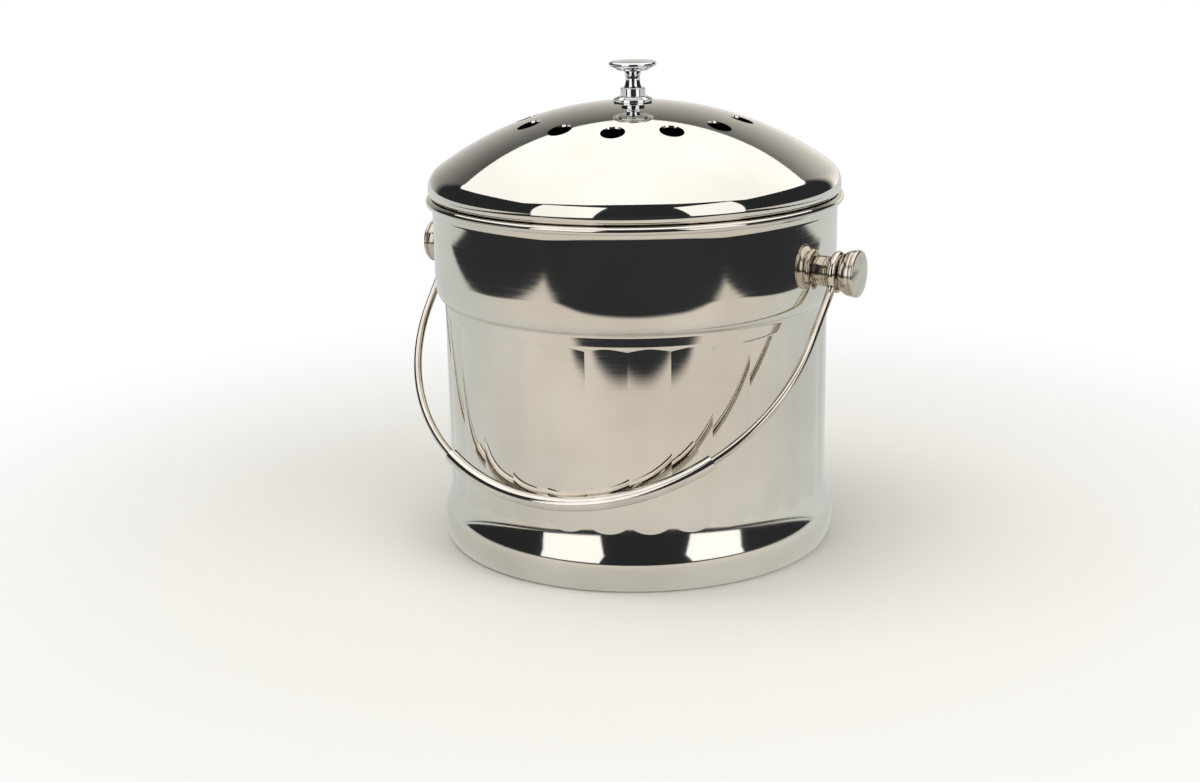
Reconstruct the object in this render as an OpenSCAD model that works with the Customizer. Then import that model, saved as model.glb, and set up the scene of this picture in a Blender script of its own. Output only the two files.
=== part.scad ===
// Fluted steel pail with a lift-off domed lid, a carbon filter held under the lid
// and a wire bail with a loose grip sleeve. Millimetres, +Z up.
// The origin is the centre of the base on the floor. The bail's posts lie along X
// and the bail rests against the front, which is -Y.

/* [Pail] */
// Outer radius of the plain band below the rim
band_r = 90; // [80:0.5:100]
// Height of the centre of the rolled rim
rim_z = 155.2; // [140:0.1:175]
// Height of the plain band under the rim's centre
band_h = 38.2; // [34:0.1:43]
// Radius of the rolled rim's bead
rim_bead_r = 1.8; // [1.4:0.1:2.2]
// Sheet thickness of the pail
wall = 0.8; // [0.6:0.1:1.2]
// Share of the step's curve that is the round under the band
step_round_share = 0.815; // [0.6:0.005:0.9]
// Angle at which the step runs under the band
step_slope = 50; // [42:1:58]

/* [Flutes] */
// How far the crests of the fluted panels lie inside the band
body_inset = 4; // [3.4:0.1:5]
// Number of fluted panels
flutes = 30; // [24:1:36]
// Radius of one panel's curve
flute_r = 42; // [38:1:55]
// How far the plain wall lies behind the crests
flute_relief = 0.8; // [0.7:0.05:1.1]
// Distance from the band down to where the flutes fade out
fade_drop = 12.6; // [12:0.1:20]
// Radius of the curves in which they fade out
fade_r = 5; // [4:0.5:6]

/* [Foot] */
// How far the foot reaches past the flutes' crests
foot_flare = 3.6; // [3:0.1:5]
// Height of the foot's largest radius
foot_z = 9.5; // [8:0.5:11]
// Radius of the foot's outward curve
foot_round_r = 20; // [17:0.5:22]
// Slope at which the foot meets the waist
foot_slope = 20; // [17:0.5:22]
// Radius of the corner under the foot
foot_corner_r = 2.5; // [1.5:0.1:3]

/* [Lid] */
// How far the lid reaches past the band
lid_overhang = 1.7; // [1:0.1:2]
// Radius of the round between the dome and the lid's edge
shoulder_r = 10.56; // [8:0.02:14]
// Height of the dome's top over the lid's widest line
lid_rise = 36.6; // [34:0.1:39]
// Radius of the curl at the lid's edge
curl_r = 4.1; // [3.6:0.1:4.4]
// Sheet thickness of the lid
lid_wall = 0.8; // [0.6:0.1:1]
// Gap between the lid's curl and the pail's rim
seat_gap = 0.3; // [0.2:0.05:0.5]
// Number of vent holes
vents = 12; // [6:1:14]
// Diameter of a vent hole
vent_d = 10.6; // [6:0.1:12]
// Radius of the ring of vent holes
vent_ring_r = 47.9; // [40:0.1:56]
// Turn of the first vent hole from the front
vent_turn = 16; // [0:1:29]

/* [Lid collar] */
// Gap between the collar and the pail's bore
collar_gap = 1; // [0.6:0.1:1.4]
// Sheet thickness of the collar
collar_wall = 0.8; // [0.6:0.1:1]
// Depth of the collar below the lid's widest line
collar_depth = 14; // [12:0.5:15]
// Height of the collar over the lid's widest line
collar_rise = 1.5; // [0.5:0.1:2]

/* [Filter] */
// Gap between the holder and the collar
holder_gap = 0.3; // [0.25:0.05:0.5]
// Width of the holder's rim
holder_rim_w = 2; // [1.5:0.1:3]
// Height of the holder's rim
holder_h = 8; // [6:0.5:9]
// Height of the holder's grille
grille_h = 2; // [1.5:0.1:2.5]
// Width of a bar of the grille
grille_bar_w = 2; // [1.5:0.1:3]
// Number of the grille's spokes
grille_spokes = 12; // [6:1:16]
// Radius of the grille's hub
grille_hub_r = 12; // [8:0.5:16]
// Radius of the grille's middle ring
grille_ring_r = 48; // [36:1:56]
// Thickness of the carbon filter
filter_h = 5; // [3:0.5:7]
// Gap between the filter and the holder's rim
filter_gap = 0.6; // [0.4:0.1:1]

/* [Knob] */
// Radius of the knob's head
knob_head_r = 10.6; // [9:0.1:12]
// Radius of the edge of the knob's head
knob_edge_r = 1.1; // [0.8:0.1:1.3]
// Radius of the ring under the knob's head
knob_under_r = 7.2; // [6:0.1:8]
// Smallest radius of the knob's neck
knob_neck_r = 3.2; // [2.9:0.1:3.6]
// Radius of the knob's collar
knob_collar_r = 5.5; // [5:0.1:6]
// Height of the knob's collar
knob_collar_h = 3.8; // [3:0.1:4.5]
// Height of the knob over its washer
knob_h = 15.6; // [14:0.1:18]
// Radius of the washer under the knob
knob_washer_r = 8.8; // [8:0.1:10]
// Thickness of the washer at its middle
knob_washer_h = 1.9; // [1.6:0.1:2.4]

/* [Posts] */
// Height of the rim's centre over the bail's axis
axle_drop = 27.7; // [25:0.1:30]
// Distance from the band to a post's outer face
post_reach = 17.2; // [16:0.1:20]
// Distance from the band to the inner side of a post's head
head_gap = 8.9; // [8.6:0.1:10]
// Radius of a post's head
post_head_r = 10.2; // [9:0.1:11]
// Radius of a post's neck
post_neck_r = 5.2; // [5:0.05:5.3]
// Length of a spacer
spacer_w = 3.4; // [2.6:0.1:3.6]
// Radius of a spacer
spacer_r = 6.6; // [6:0.1:7.4]
// Radius of a post screw's shank
screw_r = 2.5; // [2:0.1:3]
// Radius of a post screw's head
screw_head_r = 4.6; // [4:0.1:5.2]
// Height of a post screw's head
screw_head_h = 2.4; // [2:0.1:3]
// Gap round a screw's shank in a plain hole
screw_gap = 0.2; // [0.1:0.05:0.4]
// Gap round a screw's shank in its thread
thread_gap = 0.05; // [0.03:0.01:0.1]
// Thickness of a washer inside the pail
washer_h = 1; // [0.8:0.1:1.5]
// Thickness of a seal at its middle
seal_h = 1.6; // [1.4:0.1:2]

/* [Bail] */
// Radius of the bail's wire
wire_r = 1.8; // [1.6:0.05:1.9]
// Height of the middle of the bail's bow at rest
rest_z = 38.4; // [34:0.1:50]
// Distance from the band to the middle of an eye
eye_out = 6.32; // [6.3:0.02:6.6]
// Angle at which the bail's legs spread towards the posts
bail_spread = 2.8; // [2.6:0.1:3]
// Radius of the eye round a post
eye_r = 7.4; // [7.3:0.05:7.8]
// Radius of the bend between a leg and its eye
eye_bend_r = 6; // [5:0.1:7]
// Turn of the wire round a post
eye_turn = 300; // [270:5:305]

/* [Grip] */
// Outer radius of the grip sleeve
grip_r = 3.1; // [2.8:0.05:3.4]
// Gap between the sleeve and the wire
grip_gap = 0.15; // [0.1:0.01:0.25]
// Angle that the sleeve covers on the bail's bow
grip_turn = 79.7; // [60:0.1:90]
// Turn of the sleeve off the middle of the bow
grip_shift = 6.65; // [-8:0.05:8]
// Gap between the resting sleeve and the pail
rest_gap = 0.3; // [0.2:0.05:0.6]

/* [Hidden] */
$fn = 96;
arc_steps = 6;
dome_steps = 18;
wide_fn = 180;
over = 1;

// Radii and heights that follow from the band and the rim
body_r = band_r - body_inset;
foot_r = body_r + foot_flare;
lid_r = band_r + lid_overhang;
band_low_z = rim_z - band_h;
flute_fade_z = band_low_z - fade_drop;
axle_z = rim_z - axle_drop;

// Radii of the fluted wall: behind the flutes, and plain above them
crest_clear = 0.1;
hidden_r = body_r - flute_relief;
plain_r = body_r + crest_clear;

// Foot: centre of the outward curve, of the corner and of the waist's inward curve
foot_cx = foot_r - foot_round_r;
corner_dz = foot_corner_r - foot_z;
corner_cx = foot_cx + sqrt(pow(foot_round_r - foot_corner_r, 2) - pow(corner_dz, 2));
corner_end = asin(corner_dz / (foot_round_r - foot_corner_r));
waist_r = (foot_cx + foot_round_r * cos(foot_slope) - hidden_r) / (1 - cos(foot_slope));
waist_cx = hidden_r + waist_r;
waist_cz = foot_z + (foot_round_r + waist_r) * sin(foot_slope);

// Fade of the flutes, and the step out to the band
fade_slope = acos(1 - (plain_r - hidden_r) / (2 * fade_r));
fade_low_z = flute_fade_z - fade_r * sin(fade_slope);
fade_high_z = flute_fade_z + fade_r * sin(fade_slope);
step_curve_r = (band_r - plain_r) / (1 - cos(step_slope));
step_round_r = step_curve_r * step_round_share;
step_hollow_r = step_curve_r - step_round_r;
step_low_z = band_low_z - (step_round_r + step_hollow_r) * sin(step_slope);

// Heights between which the flutes are cut
flute_low_z = waist_cz - sqrt(pow(waist_r, 2) - pow(waist_cx - plain_r - over, 2));
flute_high_z = (fade_high_z + step_low_z) / 2;
flute_pitch = 360 / flutes;

// Rim
bore_r = band_r - wall;
bead_inset = 0.05;
bead_cx = bore_r + bead_inset + rim_bead_r;
rim_top_z = rim_z + rim_bead_r;

// Lid: the curl rests on the rim's bead
curl_cx = lid_r - curl_r;
seat_reach = curl_r + rim_bead_r + seat_gap;
lid_wide_z = rim_z + sqrt(pow(seat_reach, 2) - pow(bead_cx - curl_cx, 2));
dome_top_z = lid_wide_z + lid_rise;
shoulder_cx = lid_r - shoulder_r;
dome_r = (pow(shoulder_cx, 2) + pow(lid_rise, 2) - pow(shoulder_r, 2)) / (2 * (lid_rise - shoulder_r));
dome_cz = dome_top_z - dome_r;
shoulder_end = atan((lid_wide_z - dome_cz) / shoulder_cx);
collar_r = bore_r - collar_gap;
collar_low_z = lid_wide_z - collar_depth;
collar_top_z = lid_wide_z + collar_rise;
vent_pitch = 360 / vents;
curl_clear = 0.03;

// Filter and its holder
holder_r = collar_r - collar_wall - holder_gap;
holder_bore_r = holder_r - holder_rim_w;
holder_low_z = collar_low_z + over / 2;
filter_low_z = holder_low_z + grille_h;
filter_r = holder_bore_r - filter_gap;

// Knob
knob_screw_r = 2;
knob_screw_head_r = 4;
knob_screw_head_h = 2.2;
knob_low_z = dome_top_z + knob_washer_h;
knob_screw_top_z = knob_low_z + knob_h * 0.6;
head_seat_gap = 0.02;
head_seat_z = dome_cz + sqrt(pow(dome_r - lid_wall, 2) - pow(knob_screw_head_r, 2)) - head_seat_gap;
washer_edge_h = 0.9;

// Posts
post_face_x = band_r + post_reach;
post_back_x = band_r + head_gap;
spacer_x = band_r + spacer_w;
shank_hole_r = screw_r + screw_gap;
seal_x = bore_r - seal_h;
washer_x = seal_x - washer_h;
shank_end_x = post_back_x + 2;
seal_r = spacer_r;
recess_w = 0.9;
recess_l = 5;
recess_d = 1.1;

// Bail: it rests with the sleeve against the crests. It is built hanging down, with v
// measured downwards from the axis. The bow's radius brings the spread legs to the eyes
rest_side = body_r + rest_gap + grip_r;
rest_drop = axle_z - rest_z;
rest_angle = atan(rest_side / rest_drop);
bail_reach = sqrt(pow(rest_side, 2) + pow(rest_drop, 2));
eye_x = band_r + eye_out;
bail_bow_r = (eye_x - bail_reach * tan(bail_spread)) / (1 / cos(bail_spread) - tan(bail_spread));
bow_cv = bail_reach - bail_bow_r;
leg_length = (bow_cv + bail_bow_r * sin(bail_spread)) / cos(bail_spread);
bend_v = sqrt(pow(eye_r + eye_bend_r, 2) - pow(eye_bend_r, 2));
bend_turn = acos(eye_bend_r / (eye_r + eye_bend_r));
grip_bore_r = wire_r + grip_gap;

// The bow meets the legs face to face. The bends end a little way inside the legs and the
// eyes, which are a hair thicker
wire_lap = 0.3;
bow_wire_r = wire_r - 0.08;
eye_lap = wire_lap / eye_r * 180 / PI;

function arc(cx, cz, r, from, to, steps = arc_steps) =
    [for (i = [0:steps]) let (a = from + (to - from) * i / steps) [cx + r * cos(a), cz + r * sin(a)]];
function backwards(points) = [for (i = [len(points) - 1:-1:0]) points[i]];

// Section of the pail's skin from the base to the rim, moved inwards by inset
function pail_line(inset) = concat(
    [[0, inset]],
    arc(corner_cx, foot_corner_r, foot_corner_r - inset, -90, corner_end),
    arc(foot_cx, foot_z, foot_round_r - inset, corner_end, foot_slope),
    arc(waist_cx, waist_cz, waist_r + inset, 180 + foot_slope, 180),
    arc(hidden_r + fade_r, fade_low_z, fade_r + inset, 180, 180 - fade_slope),
    arc(plain_r - fade_r, fade_high_z, fade_r - inset, -fade_slope, 0),
    arc(plain_r + step_hollow_r, step_low_z, step_hollow_r + inset, 180, 180 - step_slope),
    arc(band_r - step_round_r, band_low_z, step_round_r - inset, -step_slope, 0)
);

// Solid inside the skin that lies inset from the pail's surface
module pail_form(inset, top_z) {
    rotate_extrude($fn = wide_fn)
        polygon(concat(pail_line(inset), [[band_r - inset, top_z], [0, top_z]]));
    translate([0, 0, flute_low_z])
        linear_extrude(flute_high_z - flute_low_z)
            for (i = [0:flutes - 1])
                rotate(i * flute_pitch)
                    flute_sector(inset);
}

// One convex panel, whose sides end inside its neighbours, so that the two curves meet in a crease
module flute_sector(inset) {
    half_angle = 0.7 * flute_pitch;
    intersection() {
        translate([body_r - flute_r, 0])
            circle(r = flute_r - inset, $fn = wide_fn);
        polygon([
            [0, 0],
            [band_r, -band_r * tan(half_angle)],
            [band_r, band_r * tan(half_angle)]
        ]);
    }
}

module pail_shell() {
    color("#c9cacb")
    difference() {
        union() {
            difference() {
                pail_form(0, rim_z);
                pail_form(wall, rim_z + over);
            }
            rotate_extrude($fn = wide_fn)
                translate([bead_cx, rim_z])
                    circle(r = rim_bead_r, $fn = 32);
        }
        for (side = [0, 180])
            rotate(side)
                along_x(bore_r - over, band_r + over, shank_hole_r);
    }
}

module lid_shell() {
    color("#d2d3d4")
    difference() {
        rotate_extrude($fn = wide_fn)
            lid_section();
        for (i = [0:vents - 1])
            rotate(vent_turn - 90 + i * vent_pitch)
                translate([vent_ring_r, 0, collar_top_z])
                    cylinder(h = lid_rise, d = vent_d, $fn = 48);
        translate([0, 0, collar_top_z])
            cylinder(h = lid_rise + over, r = knob_screw_r + screw_gap, $fn = 48);
    }
}

// Section of the lid's sheet from the top of the dome to the end of the curl
module lid_section() {
    end_r = collar_r + curl_clear;
    outer_end = -acos((end_r - curl_cx) / curl_r);
    inner_end = -acos((end_r - curl_cx) / (curl_r - lid_wall));
    polygon(concat(
        lid_line(0, outer_end),
        backwards(lid_line(lid_wall, inner_end))
    ));
}
function lid_line(inset, end) = concat(
    arc(0, dome_cz, dome_r - inset, 90, shoulder_end, dome_steps),
    arc(shoulder_cx, lid_wide_z, shoulder_r - inset, shoulder_end, 0, dome_steps / 2),
    arc(curl_cx, lid_wide_z, curl_r - inset, 0, end, dome_steps / 2)
);

module lid_collar() {
    color("#c4c5c6")
    translate([0, 0, collar_low_z])
        difference() {
            cylinder(h = collar_depth + collar_rise, r = collar_r, $fn = wide_fn);
            translate([0, 0, -over])
                cylinder(h = collar_depth + collar_rise + 2 * over, r = collar_r - collar_wall, $fn = wide_fn);
        }
}

module filter_holder() {
    color("#2e2f31")
    translate([0, 0, holder_low_z]) {
        ring(holder_r, holder_bore_r, holder_h);
        ring(grille_ring_r + grille_bar_w / 2, grille_ring_r - grille_bar_w / 2, grille_h);
        ring(grille_hub_r, grille_hub_r - grille_bar_w, grille_h);
        for (i = [0:grille_spokes - 1])
            rotate(i * 360 / grille_spokes)
                translate([grille_hub_r - grille_bar_w / 2, -grille_bar_w / 2, 0])
                    cube([holder_bore_r - grille_hub_r + grille_bar_w, grille_bar_w, grille_h]);
    }
}
module ring(outer, inner, h) {
    difference() {
        cylinder(h = h, r = outer, $fn = wide_fn);
        translate([0, 0, -over])
            cylinder(h = h + 2 * over, r = inner, $fn = wide_fn);
    }
}

module carbon_filter() {
    color("#1d1e20")
    translate([0, 0, filter_low_z])
        cylinder(h = filter_h, r = filter_r, $fn = wide_fn);
}

module lid_knob() {
    color("#d8d9da")
    difference() {
        rotate_extrude()
            knob_section();
        translate([0, 0, knob_low_z - over])
            cylinder(h = knob_screw_top_z + over - knob_low_z, r = knob_screw_r + thread_gap, $fn = 48);
    }
}

// Section of the turned knob: collar, waisted neck, stepped underside, domed top
module knob_section() {
    top = knob_low_z + knob_h;
    edge_z = top - 1.5;
    under_z = edge_z - knob_edge_r;
    neck_low_z = knob_low_z + knob_collar_h;
    neck_high_z = under_z - 1.5;
    neck_half = (neck_high_z - neck_low_z) / 2;
    neck_curve_r = 9;
    neck_swing = asin(neck_half / neck_curve_r);
    crown_r = 90;
    crown_cz = top - crown_r;
    crown_a = acos((knob_head_r - knob_edge_r) / crown_r);
    polygon(concat(
        [[0, knob_low_z], [knob_collar_r - 0.3, knob_low_z], [knob_collar_r, knob_low_z + 0.3]],
        [[knob_collar_r, neck_low_z - 0.4], [knob_collar_r - 0.4, neck_low_z]],
        arc(knob_neck_r + neck_curve_r, neck_low_z + neck_half, neck_curve_r, 180 + neck_swing, 180 - neck_swing),
        [[knob_under_r, neck_high_z], [knob_under_r, neck_high_z + 0.5]],
        [[knob_head_r - knob_edge_r - 0.9, under_z - 0.3], [knob_head_r - knob_edge_r - 0.6, under_z]],
        arc(knob_head_r - knob_edge_r, edge_z, knob_edge_r, -90, 80),
        arc(0, crown_cz, crown_r, crown_a, 90)
    ));
}

module knob_washer() {
    color("#cfd0d1")
    difference() {
        rotate_extrude()
            polygon([
                [0, dome_top_z - over],
                [knob_washer_r, dome_top_z - over],
                [knob_washer_r, dome_top_z + washer_edge_h],
                [knob_collar_r + 1.2, knob_low_z],
                [0, knob_low_z]
            ]);
        translate([0, 0, dome_top_z - over])
            cylinder(h = knob_washer_h + 2 * over, r = knob_screw_r + screw_gap, $fn = 48);
        rotate_extrude($fn = wide_fn)
            polygon(concat([[0, dome_cz]], arc(0, dome_cz, dome_r, shoulder_end, 90, dome_steps)));
    }
}

module knob_screw() {
    color("#b9babb")
    difference() {
        union() {
            translate([0, 0, head_seat_z])
                cylinder(h = knob_screw_top_z - head_seat_z, r = knob_screw_r, $fn = 48);
            translate([0, 0, head_seat_z - knob_screw_head_h])
                cylinder(h = knob_screw_head_h, r = knob_screw_head_r, $fn = 48);
        }
        translate([0, 0, head_seat_z - knob_screw_head_h])
            cross_recess();
    }
}
module cross_recess() {
    for (turn = [0, 90])
        rotate(turn)
            cube([recess_l, recess_w, 2 * recess_d], center = true);
}

// A cylinder along X from one distance to another at the height of the bail's axis
module along_x(from, to, r) {
    translate([from, 0, axle_z])
        rotate([0, 90, 0])
            cylinder(h = to - from, r = r, $fn = 64);
}

module post() {
    color("#c8c3bb")
    difference() {
        translate([0, 0, axle_z])
            rotate([0, 90, 0])
                rotate_extrude()
                    post_section();
        along_x(spacer_x - over, shank_end_x + 1, screw_r + thread_gap);
    }
}

// Section of a post: neck, round back, side with a groove, and a dished face
module post_section() {
    back_round_r = 2.6;
    groove_x = post_face_x - 2.7;
    rim_round_r = 0.9;
    dish_r = post_head_r - 1.5;
    polygon(concat(
        [[0, spacer_x], [post_neck_r, spacer_x], [post_neck_r, post_back_x]],
        arc(post_head_r - 0.3 - back_round_r, post_back_x + back_round_r, back_round_r, -90, 0),
        [[post_head_r - 0.3, groove_x - 0.4], [post_head_r - 0.8, groove_x], [post_head_r - 0.1, groove_x + 0.5]],
        arc(post_head_r - rim_round_r, post_face_x - rim_round_r, rim_round_r, 0, 90),
        [[dish_r, post_face_x], [dish_r - 0.6, post_face_x - 0.3], [0, post_face_x - 0.3]]
    ));
}

module spacer() {
    ring_x = (band_r + spacer_x) / 2;
    color("#bdb8b0")
    difference() {
        along_x(bore_r - over, spacer_x, spacer_r);
        cylinder(h = rim_z, r = band_r, $fn = wide_fn);
        along_x(band_r - 2 * over, spacer_x + over, shank_hole_r);
        for (x = [ring_x - 0.2, ring_x + 1])
            difference() {
                along_x(x, x + 0.5, spacer_r + over);
                along_x(x - over, x + over, spacer_r - 0.7);
            }
    }
}

module post_seal() {
    color("#3a3b3d")
    difference() {
        intersection() {
            along_x(seal_x, bore_r + over, seal_r);
            cylinder(h = rim_z, r = bore_r, $fn = wide_fn);
        }
        along_x(seal_x - over, bore_r + over, shank_hole_r);
    }
}

module post_washer() {
    color("#c2c3c4")
    difference() {
        along_x(washer_x, seal_x, seal_r);
        along_x(washer_x - over, seal_x + over, shank_hole_r);
    }
}

module post_screw() {
    color("#b5b6b7")
    difference() {
        union() {
            along_x(washer_x - screw_head_h, washer_x, screw_head_r);
            along_x(washer_x - over, shank_end_x, screw_r);
        }
        translate([washer_x - screw_head_h, 0, axle_z])
            rotate([0, 90, 0])
                cross_recess();
    }
}

// Puts what is built hanging straight down from the axis at the bail's rest
module at_rest() {
    translate([0, 0, axle_z])
        rotate([-rest_angle, 0, 0])
            children();
}

module bail_wire() {
    color("#c5c1ba")
    at_rest() {
        bow(bow_wire_r, bail_spread, 180 - bail_spread);
        for (side = [0, 1])
            mirror([side, 0, 0])
                translate([eye_x, 0, 0])
                    rotate([0, bail_spread, 0])
                        leg_and_eye();
    }
}

// A stretch of the bow: angle 0 is the side towards +X, 90 is the lowest point
module bow(r, from, to) {
    translate([0, 0, -bow_cv])
        rotate([-90, 0, 0])
            rotate(from)
                rotate_extrude(angle = to - from, $fn = wide_fn)
                    translate([bail_bow_r, 0])
                        circle(r = r, $fn = 32);
}

// Leg, bend and eye in one plane, with the eye's centre at the origin
module leg_and_eye() {
    translate([0, 0, -leg_length])
        cylinder(h = leg_length - bend_v + wire_lap, r = wire_r, $fn = 32);
    translate([0, -eye_bend_r, -bend_v])
        rotate([0, 0, 90])
            rotate([90, 0, 0])
                rotate_extrude(angle = bend_turn)
                    translate([eye_bend_r, 0])
                        circle(r = bow_wire_r, $fn = 32);
    rotate([0, 0, 90])
        rotate([90, 0, 0])
            rotate(180 + bend_turn - eye_turn)
                rotate_extrude(angle = eye_turn + eye_lap)
                    translate([eye_r, 0])
                        circle(r = wire_r, $fn = 32);
}

module grip_sleeve() {
    from = 90 - grip_shift - grip_turn / 2;
    color("#d0d0cf")
    at_rest()
        difference() {
            bow(grip_r, from, from + grip_turn);
            bow(grip_bore_r, from - over, from + grip_turn + over);
        }
}

module other_side() {
    rotate(180)
        children();
}

pail_shell();
lid_shell();
lid_collar();
lid_knob();
knob_washer();
knob_screw();
carbon_filter();
filter_holder();
bail_wire();
grip_sleeve();
post();  // post_right
spacer();  // spacer_right
post_screw();  // post_screw_right
post_washer();  // post_washer_right
post_seal();  // post_seal_right
other_side() post();  // post_left
other_side() spacer();  // spacer_left
other_side() post_screw();  // post_screw_left
other_side() post_washer();  // post_washer_left
other_side() post_seal();  // post_seal_left
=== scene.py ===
import math
import bpy
import numpy as np
from mathutils import Matrix, Vector


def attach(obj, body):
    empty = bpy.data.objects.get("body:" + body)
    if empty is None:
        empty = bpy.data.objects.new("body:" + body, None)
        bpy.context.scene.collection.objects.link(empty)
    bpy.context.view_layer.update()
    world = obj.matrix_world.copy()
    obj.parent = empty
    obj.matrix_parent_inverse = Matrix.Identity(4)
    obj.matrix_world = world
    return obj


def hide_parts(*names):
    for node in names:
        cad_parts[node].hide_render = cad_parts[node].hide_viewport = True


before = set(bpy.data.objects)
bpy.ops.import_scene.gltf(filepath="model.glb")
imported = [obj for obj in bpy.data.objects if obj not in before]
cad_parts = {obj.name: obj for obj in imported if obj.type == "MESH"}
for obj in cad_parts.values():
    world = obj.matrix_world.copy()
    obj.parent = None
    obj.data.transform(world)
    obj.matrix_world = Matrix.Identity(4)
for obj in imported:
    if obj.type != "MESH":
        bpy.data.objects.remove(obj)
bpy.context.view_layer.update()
print("frame loaded")

# All sizes below are millimetres and degrees; meshes are written in metres.
metre = 0.001


def linearColour(hexText):
    channels = [int(hexText[i:i + 2], 16) / 255 for i in (1, 3, 5)]
    linear = [c / 12.92 if c <= 0.04045 else ((c + 0.055) / 1.055) ** 2.4 for c in channels]
    return (*linear, 1.0)


# Adds a node; settings go to its inputs or its properties, links come from other nodes' outputs.
def addNode(tree, kind, settings=None, links=None):
    node = tree.nodes.new(kind)
    for key, value in (settings or {}).items():
        if isinstance(key, int) or key in node.inputs:
            node.inputs[key].default_value = value
        else:
            setattr(node, key, value)
    for key, source in (links or {}).items():
        tree.links.new(source, node.inputs[key])
    return node


# One arithmetic step between sockets or plain numbers
def arithmetic(tree, operation, *terms):
    node = addNode(tree, "ShaderNodeMath", {"operation": operation})
    for socket, term in zip(node.inputs, terms):
        if isinstance(term, (int, float)):
            socket.default_value = term
        else:
            tree.links.new(term, socket)
    return node.outputs[0]


# A soft step from 0 to 1 while the value goes from low to high; further settings change its ends
def softStep(tree, value, low, high, settings=None):
    return addNode(tree, "ShaderNodeMapRange", {
        "interpolation_type": "SMOOTHSTEP", "From Min": low, "From Max": high, **(settings or {})},
        {"Value": value}).outputs[0]


# Lines and arcs of a turned section, each with its outward normals. Interior is on the left of travel.
def arcStrip(cr, cz, radius, fromDeg, toDeg, steps):
    turns = np.radians(np.linspace(fromDeg, toDeg, steps + 1))
    out = np.column_stack([np.cos(turns), np.sin(turns)])
    return out * radius + (cr, cz), out * (1 if toDeg > fromDeg else -1)


def lineStrip(start, end, steps=1):
    start, end = np.array(start, float), np.array(end, float)
    along = (end - start) / np.linalg.norm(end - start)
    points = start + np.linspace(0, 1, steps + 1)[:, None] * (end - start)
    return points, np.tile((along[1], -along[0]), (steps + 1, 1))


# A section through corners (r, z, fillet radius)
def roundedPath(corners, steps=4):
    strips = []
    start = np.array(corners[0][:2], float)
    for before, corner, after in zip(corners, corners[1:], corners[2:]):
        p, q, s = (np.array(c[:2], float) for c in (before, corner, after))
        inward = (q - p) / np.linalg.norm(q - p)
        onward = (s - q) / np.linalg.norm(s - q)
        turn = math.atan2(inward[0] * onward[1] - inward[1] * onward[0], inward @ onward)
        if corner[2] > 0 and abs(turn) > 0.02:
            first = q - inward * corner[2] * math.tan(abs(turn) / 2)
            centre = first + math.copysign(corner[2], turn) * np.array([-inward[1], inward[0]])
            a = math.degrees(math.atan2(*(first - centre)[::-1]))
            strips.append(lineStrip(start, first))
            strips.append(arcStrip(*centre, corner[2], a, a + math.degrees(turn), steps))
            start = strips[-1][0][-1]
        else:
            strips.append(lineStrip(start, q))
            start = q
    strips.append(lineStrip(start, corners[-1][:2]))
    return strips


# Turns strips round an axis. place(r, h, angle) gives the points, the outward and the axial directions.
def turnedSheets(strips, angles, place):
    sheets = []
    for points, normals in strips:
        r, a = np.meshgrid(points[:, 0], angles, indexing="ij")
        h = np.broadcast_to(points[:, 1][:, None], r.shape)
        position, outward, axial = place(r, h, a)
        normal = outward * normals[:, 0][:, None, None] + axial * normals[:, 1][:, None, None]
        sheets.append((position, normal))
    return sheets


def roundZ(r, h, a):
    outward = np.stack([np.cos(a), np.sin(a), np.zeros_like(a)], -1)
    axial = np.broadcast_to((0.0, 0.0, 1.0), outward.shape)
    return outward * r[..., None] + axial * h[..., None], outward, axial


# Welds sheets of points into one closed mesh and keeps each face corner's exact normal.
def weldedMesh(name, sheets):
    positions, normals, quads, base = [], [], [], 0
    for position, normal in sheets:
        rows, columns = position.shape[:2]
        ids = base + np.arange(rows * columns).reshape(rows, columns)
        quads.append(np.stack([ids[:-1, :-1], ids[:-1, 1:], ids[1:, 1:], ids[1:, :-1]], -1).reshape(-1, 4))
        positions.append(position.reshape(-1, 3))
        normals.append(normal.reshape(-1, 3))
        base += rows * columns
    positions, normals, quads = (np.concatenate(x) for x in (positions, normals, quads))
    _, first, weld = np.unique(np.round(positions / 0.002).astype(np.int64), axis=0,
                               return_index=True, return_inverse=True)
    weld = weld.reshape(-1)
    faces, cornerNormals = [], []
    for quad, corners in zip(weld[quads].tolist(), quads.tolist()):
        kept = [k for k in range(4) if quad[k] != quad[k - 1]]
        if len({quad[k] for k in kept}) >= 3 and len(kept) == len({quad[k] for k in kept}):
            faces.append([quad[k] for k in kept])
            cornerNormals.extend(corners[k] for k in kept)
    mesh = bpy.data.meshes.new(name)
    mesh.from_pydata((positions[first] * metre).tolist(), [], faces)
    cornerNormals = normals[cornerNormals]
    cornerNormals /= np.linalg.norm(cornerNormals, axis=1)[:, None]
    setCornerNormals(mesh, cornerNormals)
    stored = mesh.attributes.new("cornerNormal", "FLOAT_VECTOR", "CORNER")
    stored.data.foreach_set("vector", cornerNormals.astype(np.float32).ravel())
    return mesh


def setCornerNormals(mesh, cornerNormals):
    mesh.shade_smooth()
    mesh.normals_split_custom_set(cornerNormals.tolist())


def addPiece(name, mesh, body, replaced, material):
    piece = bpy.data.objects.new(name, mesh)
    bpy.context.scene.collection.objects.link(piece)
    if "cornerNormal" in mesh.attributes:
        mesh.attributes.remove(mesh.attributes["cornerNormal"])
    mesh.materials.clear()
    mesh.materials.append(material)
    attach(piece, body)
    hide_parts(*replaced)
    return piece


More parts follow.
